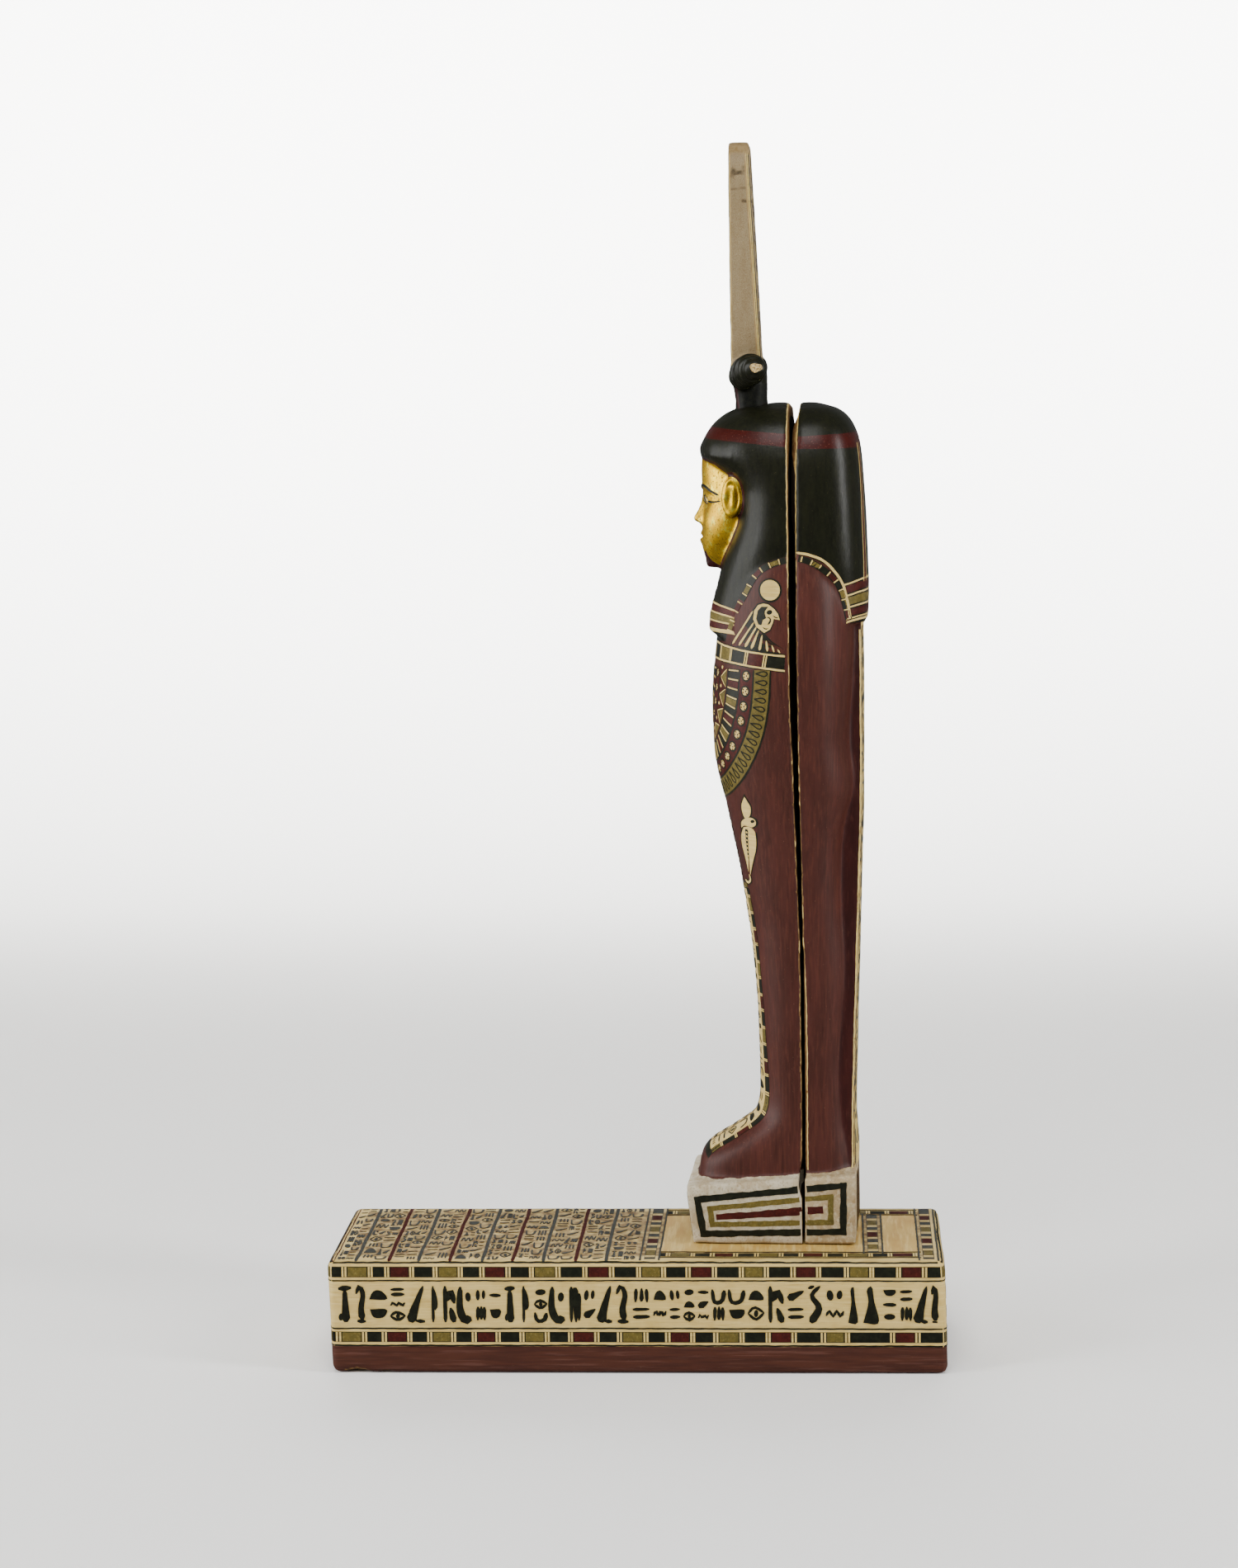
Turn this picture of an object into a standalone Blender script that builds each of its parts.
# Ptah-Sokar-Osiris figure of painted and gilded wood, standing on a long plinth.
# Metres, +Z up. The origin is the centre of the plinth's underside. The figure faces -Y.
# The figure is carved in two hollow halves, front and back, that part along an upright joint.
# Its crown of two plumes on ram's horns is a piece of its own, set in a shallow socket.

import math

import bmesh
import bpy
from mathutils import Matrix, Vector

# Plinth
PLINTH_LENGTH = 0.320
PLINTH_WIDTH = 0.113
PLINTH_HEIGHT = 0.060
PLINTH_END_LEAN = 0.0016
PLINTH_EDGE = 0.0025

# Where the figure stands on the plinth, and how far it is turned
FIGURE_X = -0.0120
FIGURE_Y = 0.0732
FIGURE_TURN = math.radians(-2.3)

# The figure from its block's underside to the top of its head.
# The carving is drawn on a grid of 439 units to that height: at the real size a unit is 1 mm.
FIGURE_HEIGHT = 0.439
GRID_UNITS = 439
UNIT = FIGURE_HEIGHT / GRID_UNITS

# Block under the feet, which slopes up to the rear
BLOCK_WIDTH = 0.072
BLOCK_FRONT_HEIGHT = 0.0310
BLOCK_REAR_HEIGHT = 0.0375
BLOCK_FRONT_MARGIN = 0.0018
BLOCK_FRONT_LEAN = 0.0036
BLOCK_REAR_MARGIN = 0.0010
BLOCK_EDGE = 0.0012

# Back pillar
PILLAR_WIDTH = 0.042
PILLAR_EDGE = 0.0008

# Hollow between the halves, open at their joint
HOLLOW_WIDTH = 0.032
HOLLOW_DEPTH_FRONT = 0.018
HOLLOW_DEPTH_BACK = 0.016
HOLLOW_BOTTOM = 0.172
HOLLOW_TOP = 0.338
HOLLOW_CORNER = 0.004
HOLLOW_CUT_PAST_JOINT = 0.012

# Crown
CROWN_HEIGHT = 0.1322
PLUME_WIDTH = 0.062
PLUME_THICKNESS_FOOT = 0.0165
PLUME_THICKNESS_TIP = 0.0105
PLUME_EDGE = 0.0009
PLUME_TURN = math.radians(2.3)
PLUME_FOOT_ABOVE_HEAD = 0.012
STEM_WIDTH = 0.024
STEM_DEPTH = 0.0180
STEM_ABOVE_HEAD = 0.022
SOCKET_DEPTH = 0.009
HORN_SPREAD_NEAR = 0.035
HORN_SPREAD_FAR = 0.044
HORN_BREAK_RADIUS = 0.0026
HORN_TIP_RADIUS = 0.0008
HORN_START = 0.003

# Gap between pieces that touch
CLEARANCE = 0.0003

# Crown places that follow from the sizes above
STEM_MIDDLE = -10.6 * UNIT
STEM_FOOT = FIGURE_HEIGHT - SOCKET_DEPTH
PLUME_FRONT = -20.1 * UNIT
PLUME_FOOT = FIGURE_HEIGHT + PLUME_FOOT_ABOVE_HEAD
PLUME_TOP = FIGURE_HEIGHT + CROWN_HEIGHT

# Profiles of a horn over its reach: depth of its line, height of its line above the head, radius.
# The line sinks forward, then climbs back, which makes the coils that the side view shows.
HORN_DEPTH_NEAR = ((0, -0.0120), (0.28, -0.0136), (0.70, -0.0089), (1, -0.0056))
HORN_DEPTH_FAR = ((0, -0.0120), (0.28, -0.0136), (0.70, -0.0116), (1, -0.0092))
HORN_RISE = ((0, 0.0152), (0.28, 0.0134), (0.70, 0.0171), (1, 0.0178))
HORN_RADIUS = ((0, 0.0082), (0.28, 0.0074), (0.70, 0.0083), (0.88, 0.0062))

# Fineness of the carving
RING_POINTS = 36
HORN_RING_POINTS = 14
HEAD_RING_POINTS = 40

# Profiles of the body, in grid units: height, then the depth or half width there
BODY_FRONT = (
    (20, -41.5), (40, -41.2), (45, -38.4), (56, -22.4), (66, -10.6), (78, -8.8), (113, -9.6),
    (146, -11.6), (187, -17.0), (224, -24.0), (262, -31.6), (285, -32.0), (318, -29.2),
    (346, -26.0), (362, -19.0), (368, -15.0),
)
BODY_BACK = (
    (20, 39.0), (42, 38.6), (68, 35.1), (89, 34.2), (146, 37.2), (183, 35.5), (204, 35.6),
    (222, 37.6), (242, 42.4), (264, 40.1), (318, 42.6), (340, 42.0), (355, 37.0), (368, 29.0),
)
BODY_HALF_WIDTH = (
    (20, 29.0), (48, 28.6), (72, 27.4), (113, 30.5), (165, 33.4), (224, 39.6), (280, 46.2),
    (309, 48.0), (334, 46.9), (346, 45.2), (355, 43.9), (361, 42.2), (368, 33.0),
)
BODY_FRONT_POWER = ((20, 4.4), (40, 3.8), (56, 2.7), (72, 2.15), (368, 2.25))
BODY_BACK_POWER = ((20, 3.6), (72, 2.6), (368, 2.6))
PILLAR_BACK = ((30, 41.3), (75, 41.6), (230, 46.6), (280, 47.0), (336, 46.8))

# Profiles of the wig, which carries the lappets in front and the tress behind
WIG_FRONT = (
    (314, -34.2), (324, -34.0), (336, -31.8), (357, -26.0), (386, -17.6), (394, -18.0),
    (402, -24.0), (407, -29.4), (412, -36.8), (415, -37.4), (420, -35.4), (425, -32.6),
    (430, -28.4), (434, -22.4), (437, -12.0), (438.6, -3.0),
)
WIG_BACK = (
    (314, 48.8), (341, 50.1), (373, 49.3), (407, 47.3), (419, 45.8), (427, 42.8),
    (432, 39.4), (436, 33.6), (438.6, 24.0),
)
WIG_HALF_WIDTH = (
    (314, 36.5), (340, 39.0), (357, 41.8), (385, 42.6), (405, 42.0), (418, 39.2),
    (427, 34.8), (433, 28.6), (437, 21.0), (438.6, 13.0),
)
WIG_FRONT_POWER = 2.6
WIG_BACK_POWER = 3.3
LAPPET_GAP = 0.021
LAPPET_END = 318
LAPPET_END_SLOPE = 0.5
LAPPET_SLOPE_FOOT = -25.0
THROAT_FRONT = -24.5
TRESS_END = 326
CHIN_HEIGHT = 358

# Profiles of the head within the wig, whose face is a calm one on a third, a third and a third
FACE_FRONT = (
    (352, -26.0), (357, -32.6), (362, -35.4), (369, -36.0), (376, -36.0), (386, -34.4),
    (394, -35.8), (404, -36.4), (413, -35.6), (424, -29.0),
)
FACE_HALF_WIDTH = (
    (352, 8.0), (357, 12.5), (363, 17.0), (372, 22.0), (386, 24.6), (400, 25.0),
    (413, 24.0), (424, 20.0),
)
FACE_WIDEST = -13.0
FACE_POWER = 2.4
HEAD_BACK = 10.0
NOSE_TOP = 394.0
NOSE_TIP = 378.6
NOSE_BASE = 375.6
NOSE_REACH = 7.0
LIPS = 369.7
CHIN = 362.0
EYES = 389.5

# Joint faces of the two halves, in grid units: height, then the depth of the face
JOINT_OF_FRONT = (
    (-10, 14.4), (136, 14.4), (205, 13.2), (240, 12.3), (308, 10.8), (450, 10.5),
)
JOINT_OF_BACK = (
    (-10, 15.4), (136, 15.8), (188, 15.2), (240, 14.6), (295, 14.1), (350, 13.8),
    (409, 14.3), (450, 16.0),
)

# Depth at which the body is widest, on the joint
WIDEST = 12.0


def slopes_of(points):
    """Slopes for a curve through the points that never swings past them."""
    steps = [(b[1] - a[1]) / (b[0] - a[0]) for a, b in zip(points, points[1:])]
    slopes = [steps[0]]
    for before, after in zip(steps, steps[1:]):
        level = before * after <= 0
        slopes.append(0.0 if level else 2 * before * after / (before + after))
    slopes.append(steps[-1])
    return slopes


def along(points, place):
    """Value at a place of the smooth curve through (place, value) points."""
    slopes = slopes_of(points)
    place = min(max(place, points[0][0]), points[-1][0])
    for k, (start, end) in enumerate(zip(points, points[1:])):
        if place <= end[0]:
            break
    span = end[0] - start[0]
    t = (place - start[0]) / span
    rise = end[1] - start[1]
    bend_in = slopes[k] * span - rise
    bend_out = rise - slopes[k + 1] * span
    return start[1] + t * rise + t * (1 - t) * ((1 - t) * bend_in + t * bend_out)


def levels(bottom, top, step):
    """Heights from bottom to top, evenly spaced at about the step."""
    count = max(1, round((top - bottom) / step))
    return [bottom + (top - bottom) * k / count for k in range(count + 1)]


def rounded_power(value, power):
    return math.copysign(abs(value) ** (2 / power), value)


def oval(half_width, front, back, widest, front_power, back_power, height, count=RING_POINTS):
    """Level section: half an oval in front of the widest place and half behind it."""
    ring = []
    for k in range(count):
        angle = 2 * math.pi * (k + 0.5) / count
        across, deep = math.cos(angle), math.sin(angle)
        power = back_power if deep > 0 else front_power
        depth = back - widest if deep > 0 else widest - front
        x = half_width * rounded_power(across, power)
        y = widest + depth * rounded_power(deep, power)
        ring.append(Vector((x, y, height)))
    return ring


def oblong(half_width, front, back, height):
    """Level section with four corners."""
    corners = ((half_width, front), (half_width, back), (-half_width, back), (-half_width, front))
    return [Vector((x, y, height)) for x, y in corners]


def material(name, colour, roughness, metallic=0.0):
    found = bpy.data.materials.new(name)
    found.use_nodes = True
    found.diffuse_color = (*colour, 1.0)
    shader = found.node_tree.nodes["Principled BSDF"]
    shader.inputs["Base Color"].default_value = (*colour, 1.0)
    shader.inputs["Roughness"].default_value = roughness
    shader.inputs["Metallic"].default_value = metallic
    return found


def add_object(name, mesh, collection, parent=None):
    made = bpy.data.objects.new(name, mesh)
    collection.objects.link(made)
    made.parent = parent
    return made


def mesh_from(name, bm):
    bmesh.ops.recalc_face_normals(bm, faces=bm.faces)
    mesh = bpy.data.meshes.new(name)
    bm.to_mesh(mesh)
    bm.free()
    return mesh


def lofted(name, rings, scale=1.0):
    """Closed mesh through rings that have equal numbers of points."""
    bm = bmesh.new()
    rows = [[bm.verts.new(point * scale) for point in ring] for ring in rings]
    for lower, upper in zip(rows, rows[1:]):
        for k in range(len(lower)):
            after = (k + 1) % len(lower)
            bm.faces.new((lower[k], lower[after], upper[after], upper[k]))
    bm.faces.new(reversed(rows[0]))
    bm.faces.new(rows[-1])
    return mesh_from(name, bm)


def box_mesh(name, low, high, edge=0.0, segments=2):
    """Box between two corners, in metres, with its edges rounded by the edge radius."""
    low, high = Vector(low), Vector(high)
    size = Matrix.Diagonal((*(high - low), 1.0))
    bm = bmesh.new()
    bmesh.ops.create_cube(bm, size=1.0, matrix=Matrix.Translation((low + high) / 2) @ size)
    if edge:
        bmesh.ops.bevel(
            bm, geom=bm.edges[:], offset=edge, segments=segments, profile=0.5, affect="EDGES"
        )
    return mesh_from(name, bm)


def ellipsoid_mesh(name, centre, radii, segments=14, rings=8):
    """Ellipsoid, in grid units."""
    scale = Matrix.Diagonal((*(radius * UNIT for radius in radii), 1.0))
    shape = Matrix.Translation(Vector(centre) * UNIT) @ scale
    bm = bmesh.new()
    bmesh.ops.create_uvsphere(
        bm, u_segments=segments, v_segments=rings, radius=1.0, matrix=shape
    )
    return mesh_from(name, bm)


def helper(name, mesh, parent):
    """Shape that only joins or cuts another, so it isn't rendered."""
    made = add_object(name, mesh, cutters, parent)
    made.hide_render = True
    made.display_type = "WIRE"
    return made


def boolean(target, operand, operation):
    modifier = target.modifiers.new(operation.lower(), "BOOLEAN")
    modifier.operation = operation
    modifier.solver = "EXACT"
    modifier.object = operand


def body_mesh():
    heights = levels(20, 40, 10) + levels(44, 76, 4) + levels(84, 332, 8.5) + levels(337, 368, 4)
    rings = []
    pillar_half = PILLAR_WIDTH / 2 / UNIT
    for height in heights:
        half_width = along(BODY_HALF_WIDTH, height)
        power = along(BODY_BACK_POWER, height)
        beside_pillar = (1 - (min(pillar_half / half_width, 0.9)) ** power) ** (1 / power)
        back = WIDEST + (along(BODY_BACK, height) - WIDEST) / beside_pillar
        front_power = along(BODY_FRONT_POWER, height)
        front = along(BODY_FRONT, height)
        rings.append(oval(half_width, front, back, WIDEST, front_power, power, height))
    return lofted("body", rings, UNIT)


def pillar_mesh():
    rings = []
    inside = WIDEST + 8
    for height, back in PILLAR_BACK:
        rings.append(oblong(PILLAR_WIDTH / 2 / UNIT, inside, back, height))
    bm = bmesh.new()
    bm.from_mesh(lofted("pillar", rings, UNIT))
    behind = WIDEST * 2 * UNIT
    uprights = [
        e for e in bm.edges
        if all(v.co.y > behind for v in e.verts) and abs(e.verts[0].co.z - e.verts[1].co.z) > UNIT
    ]
    bmesh.ops.bevel(bm, geom=uprights, offset=PILLAR_EDGE, segments=1, affect="EDGES")
    return mesh_from("pillar", bm)


def block_mesh():
    front = BODY_FRONT[0][1] * UNIT - BLOCK_FRONT_MARGIN
    rear = PILLAR_BACK[0][1] * UNIT + BLOCK_REAR_MARGIN
    half_width = BLOCK_WIDTH / 2
    bm = bmesh.new()
    bm.from_mesh(box_mesh("block", (-half_width, front, 0), (half_width, rear, 1)))
    for vert in bm.verts:
        if vert.co.z > 0.5:
            at_front = vert.co.y < 0
            vert.co.z = BLOCK_FRONT_HEIGHT if at_front else BLOCK_REAR_HEIGHT
            vert.co.y -= BLOCK_FRONT_LEAN if at_front else 0
    bmesh.ops.bevel(
        bm, geom=bm.edges[:], offset=BLOCK_EDGE, segments=2, profile=0.5, affect="EDGES"
    )
    return mesh_from("block", bm)


def wig_mesh():
    heights = levels(LAPPET_END - 4, 410, 8) + levels(412, 428, 4) + levels(430, 438.6, 3)
    rings = []
    for height in heights:
        rings.append(
            oval(
                along(WIG_HALF_WIDTH, height), along(WIG_FRONT, height),
                along(WIG_BACK, height), WIDEST, WIG_FRONT_POWER, WIG_BACK_POWER, height,
            )
        )
    return lofted("wig", rings, UNIT)


def throat_mesh():
    """Space between the lappets, from the chest up to the chin."""
    half_gap = LAPPET_GAP / 2
    low = (-half_gap, -60 * UNIT, 300 * UNIT)
    high = (half_gap, THROAT_FRONT * UNIT, CHIN_HEIGHT * UNIT)
    return box_mesh("throat", low, high)


def under_lappets_mesh():
    """What is taken off under the lappets, whose ends rise to the front."""
    ends = LAPPET_END * UNIT
    front = -60 * UNIT
    bm = bmesh.new()
    bm.from_mesh(box_mesh("under_lappets", (-0.05, front, ends - 0.03), (0.05, 0, ends)))
    for vert in bm.verts:
        if vert.co.z > ends - 0.01:
            vert.co.z += LAPPET_END_SLOPE * (LAPPET_SLOPE_FOOT * UNIT - vert.co.y)
    return mesh_from("under_lappets", bm)


def under_tress_mesh():
    """What is taken off under the tress, which ends higher than the lappets."""
    return box_mesh(
        "under_tress", (-0.06, (WIDEST + 8) * UNIT, 300 * UNIT), (0.06, 0.08, TRESS_END * UNIT)
    )


def swell(value, middle, spread):
    """Bell shape: one at the middle and fading to nothing a few spreads away."""
    return math.exp(-(((value - middle) / spread) ** 2))


def face_relief(x, height):
    """How far the nose, lips and chin stand out and the eye hollows sink in, in grid units."""
    bridge_fade = min(1.0, max(0.0, (NOSE_TOP - height) / (NOSE_TOP - NOSE_TIP)))
    under = min(1.0, max(0.0, (height - NOSE_BASE) / (NOSE_TIP - NOSE_BASE)))
    nose = NOSE_REACH * bridge_fade * under * swell(x, 0, 2.4 + 1.6 * bridge_fade)
    lips = 1.9 * swell(height, LIPS, 2.8) * swell(x, 0, 6.5)
    chin = 1.3 * swell(height, CHIN, 3.0) * swell(x, 0, 7.0)
    eyes = -1.7 * swell(height, EYES, 4.0) * swell(abs(x), 10.5, 5.0)
    return nose + lips + chin + eyes


def head_mesh():
    heights = levels(351.5, 372.5, 4.2) + [NOSE_BASE, NOSE_TIP] + levels(383, 423.5, 4.5)
    rings = []
    for height in heights:
        half_width = along(FACE_HALF_WIDTH, height)
        front = along(FACE_FRONT, height)
        ring = []
        for k in range(HEAD_RING_POINTS):
            turn = 2 * math.pi * (k + 0.5) / HEAD_RING_POINTS
            turn -= 0.5 * math.sin(turn)
            across, forward = math.sin(turn), math.cos(turn)
            x = half_width * rounded_power(across, FACE_POWER)
            depth = FACE_WIDEST - front if forward > 0 else HEAD_BACK
            y = FACE_WIDEST - depth * rounded_power(forward, FACE_POWER)
            if forward > 0:
                y -= face_relief(x, height) * forward
            ring.append(Vector((x, y, height)))
        rings.append(ring)
    return lofted("head", rings, UNIT)


def ear_mesh(name, side):
    return ellipsoid_mesh(name, (side * 27.3, -19.2, 390.7), (3.7, 5.6, 11.2))


def beard_stub_mesh():
    """What is left of the beard under the chin, broken off flat."""
    low = Vector((-6.0, -34.6, 353.3)) * UNIT
    high = Vector((6.0, -27.4, 361.0)) * UNIT
    return box_mesh("beard_stub", low, high, 2.0 * UNIT, 2)


def joint_mesh(name, profile, far):
    """Half of the space around the figure, from one joint face to far behind or before it."""
    rings = []
    for height in levels(-10, 450, 23):
        face = along(profile, height)
        rings.append(oblong(90, face, far, height))
    return lofted(name, rings, UNIT)


def hollow_mesh(name, profile, depth):
    """Long hollow cut into one half from its joint face."""
    middle = (HOLLOW_BOTTOM + HOLLOW_TOP) / 2 / UNIT
    face = along(profile, middle) * UNIT
    outside = face - math.copysign(HOLLOW_CUT_PAST_JOINT, depth)
    inside = face + depth
    low = (-HOLLOW_WIDTH / 2, min(outside, inside), HOLLOW_BOTTOM)
    high = (HOLLOW_WIDTH / 2, max(outside, inside), HOLLOW_TOP)
    return box_mesh(name, low, high, HOLLOW_CORNER, 3)


def stem_ring(height, grow=0.0, flare=1.0):
    """Section of the crown's stem, in metres. Grown by the clearance it is the socket's."""
    half_width = STEM_WIDTH / 2 * flare + grow
    half_depth = STEM_DEPTH / 2 * flare + grow
    middle = STEM_MIDDLE
    return oval(
        half_width, middle - half_depth, middle + half_depth, middle, 2.8, 2.8, height, 28
    )


def socket_mesh():
    bottom = STEM_FOOT - CLEARANCE
    top = FIGURE_HEIGHT + STEM_ABOVE_HEAD
    return lofted("socket", [stem_ring(bottom, CLEARANCE), stem_ring(top, CLEARANCE)])


def stem_mesh():
    top = FIGURE_HEIGHT + STEM_ABOVE_HEAD
    return lofted("stem", [stem_ring(height) for height in levels(STEM_FOOT, top, 0.007)])


def plume_outline():
    """One plume of the pair, seen from the front, as (distance from the middle, height)."""
    half = PLUME_WIDTH / 2
    foot_share = 0.52
    swell_share = 1 - foot_share
    shoulder = PLUME_TOP - 0.62 * half
    dip = PLUME_TOP - 0.32 * half
    points = [(0.0, PLUME_FOOT), (half * foot_share, PLUME_FOOT)]
    for k in range(1, 9):
        t = k / 8
        across = half * (foot_share + swell_share * math.sin(t * math.pi / 2) ** 0.9)
        points.append((across, PLUME_FOOT + (shoulder - PLUME_FOOT) * t))
    for k in range(1, 9):
        angle = math.pi * k / 9
        across = half * (foot_share + swell_share * math.cos(angle))
        points.append((across, shoulder + (PLUME_TOP - shoulder) * math.sin(angle) ** 0.8))
    points.append((0.0, dip))
    return points


def plumes_mesh():
    """Slab of two plumes, thinner towards its tips, its front face upright."""
    right = plume_outline()
    outline = right + [(-x, z) for x, z in reversed(right) if x > 0]
    bm = bmesh.new()
    rows = ([], [])
    for x, z in outline:
        t = (z - PLUME_FOOT) / (PLUME_TOP - PLUME_FOOT)
        thickness = PLUME_THICKNESS_FOOT + (PLUME_THICKNESS_TIP - PLUME_THICKNESS_FOOT) * t
        rows[0].append(bm.verts.new((x, PLUME_FRONT, z)))
        rows[1].append(bm.verts.new((x, PLUME_FRONT + thickness, z)))
    bm.faces.new(rows[0])
    bm.faces.new(reversed(rows[1]))
    for k in range(len(outline)):
        after = (k + 1) % len(outline)
        bm.faces.new((rows[0][k], rows[1][k], rows[1][after], rows[0][after]))
    bmesh.ops.recalc_face_normals(bm, faces=bm.faces)
    faces = [f for f in bm.faces if len(f.verts) > 4]
    rim = [e for e in bm.edges if any(f in faces for f in e.link_faces)]
    bmesh.ops.bevel(bm, geom=rim, offset=PLUME_EDGE, segments=2, profile=0.5, affect="EDGES")
    turn = Matrix.Rotation(PLUME_TURN, 3, "Z")
    bmesh.ops.rotate(bm, cent=(0, STEM_MIDDLE, 0), matrix=turn, verts=bm.verts)
    return mesh_from("plumes", bm)


def horn_mesh(name, side, spread, depth, end_radius):
    """Wavy ram's horn that runs out sideways to an end of the given radius."""
    rings = []
    count = 15
    for k in range(count + 1):
        t = k / count
        out = HORN_START + (spread - HORN_START) * t
        middle_y = along(depth, t)
        middle_z = FIGURE_HEIGHT + along(HORN_RISE, t)
        radius = along(HORN_RADIUS + ((1, end_radius),), t)
        ring = []
        for j in range(HORN_RING_POINTS):
            angle = side * 2 * math.pi * j / HORN_RING_POINTS
            y = middle_y + radius * math.cos(angle)
            z = middle_z + radius * math.sin(angle)
            ring.append(Vector((side * out, y, z)))
        rings.append(ring)
    return lofted(name, rings)


def plinth_mesh():
    half_width, half_length = PLINTH_WIDTH / 2, PLINTH_LENGTH / 2
    low = (-half_width, -half_length, 0)
    bm = bmesh.new()
    bm.from_mesh(box_mesh("plinth", low, (half_width, half_length, PLINTH_HEIGHT)))
    for vert in bm.verts:
        vert.co.y += PLINTH_END_LEAN * (0.5 - vert.co.z / PLINTH_HEIGHT)
    bmesh.ops.bevel(
        bm, geom=bm.edges[:], offset=PLINTH_EDGE, segments=3, profile=0.5, affect="EDGES"
    )
    return mesh_from("plinth", bm)


for found in list(bpy.data.objects):
    bpy.data.objects.remove(found, do_unlink=True)

parts = bpy.data.collections.new("ptah_sokar_osiris_figure")
cutters = bpy.data.collections.new("cutters")
bpy.context.scene.collection.children.link(parts)
bpy.context.scene.collection.children.link(cutters)

red_paint = material("red_paint_on_gesso", (0.095, 0.024, 0.020), 0.42)
dark_red_paint = material("dark_red_paint_on_gesso", (0.080, 0.021, 0.018), 0.42)
cream_gesso = material("cream_painted_gesso", (0.60, 0.48, 0.31), 0.55)
plume_paint = material("ochre_painted_gesso", (0.40, 0.30, 0.16), 0.55)

figure = bpy.data.objects.new("figure_place", None)
parts.objects.link(figure)
figure.location = (FIGURE_X, FIGURE_Y, PLINTH_HEIGHT + CLEARANCE)
figure.rotation_euler = (0, 0, FIGURE_TURN)

# Forms that both halves are carved from
pillar = helper("pillar", pillar_mesh(), figure)
block = helper("block", block_mesh(), figure)
wig = helper("wig", wig_mesh(), figure)
throat = helper("throat", throat_mesh(), figure)
under_tress = helper("under_tress", under_tress_mesh(), figure)
boolean(wig, throat, "DIFFERENCE")
boolean(wig, helper("under_lappets", under_lappets_mesh(), figure), "DIFFERENCE")
boolean(wig, under_tress, "DIFFERENCE")
head = helper("head", head_mesh(), figure)
socket = helper("socket", socket_mesh(), figure)

# Front half
front_half = add_object("front_half", body_mesh(), parts, figure)
front_half.data.materials.append(red_paint)
boolean(front_half, wig, "UNION")
boolean(front_half, head, "UNION")
boolean(front_half, helper("beard_stub", beard_stub_mesh(), figure), "UNION")
for name, side in (("ear_left", 1), ("ear_right", -1)):
    boolean(front_half, helper(name, ear_mesh(name, side), figure), "UNION")
boolean(front_half, block, "UNION")
behind_front = helper("behind_front", joint_mesh("behind_front", JOINT_OF_FRONT, 140), figure)
front_hollow_mesh = hollow_mesh("front_hollow", JOINT_OF_FRONT, -HOLLOW_DEPTH_FRONT)
boolean(front_half, behind_front, "DIFFERENCE")
boolean(front_half, helper("front_hollow", front_hollow_mesh, figure), "DIFFERENCE")
boolean(front_half, socket, "DIFFERENCE")

# Back half
back_half = add_object("back_half", body_mesh(), parts, figure)
back_half.data.materials.append(dark_red_paint)
boolean(back_half, pillar, "UNION")
boolean(back_half, wig, "UNION")
boolean(back_half, block, "UNION")
before_back = helper("before_back", joint_mesh("before_back", JOINT_OF_BACK, -120), figure)
back_hollow_mesh = hollow_mesh("back_hollow", JOINT_OF_BACK, HOLLOW_DEPTH_BACK)
boolean(back_half, before_back, "DIFFERENCE")
boolean(back_half, helper("back_hollow", back_hollow_mesh, figure), "DIFFERENCE")

# Crown
crown = add_object("crown", stem_mesh(), parts, figure)
crown.data.materials.append(plume_paint)
boolean(crown, helper("plumes", plumes_mesh(), figure), "UNION")
horn_near_mesh = horn_mesh("horn_near", 1, HORN_SPREAD_NEAR, HORN_DEPTH_NEAR, HORN_BREAK_RADIUS)
horn_far_mesh = horn_mesh("horn_far", -1, HORN_SPREAD_FAR, HORN_DEPTH_FAR, HORN_TIP_RADIUS)
boolean(crown, helper("horn_near", horn_near_mesh, figure), "UNION")
boolean(crown, helper("horn_far", horn_far_mesh, figure), "UNION")

# Plinth
plinth = add_object("plinth", plinth_mesh(), parts)
plinth.data.materials.append(cream_gesso)

for part in (front_half, back_half, crown, plinth):
    part.data.shade_smooth()
    part.data.set_sharp_from_angle(angle=math.radians(40))
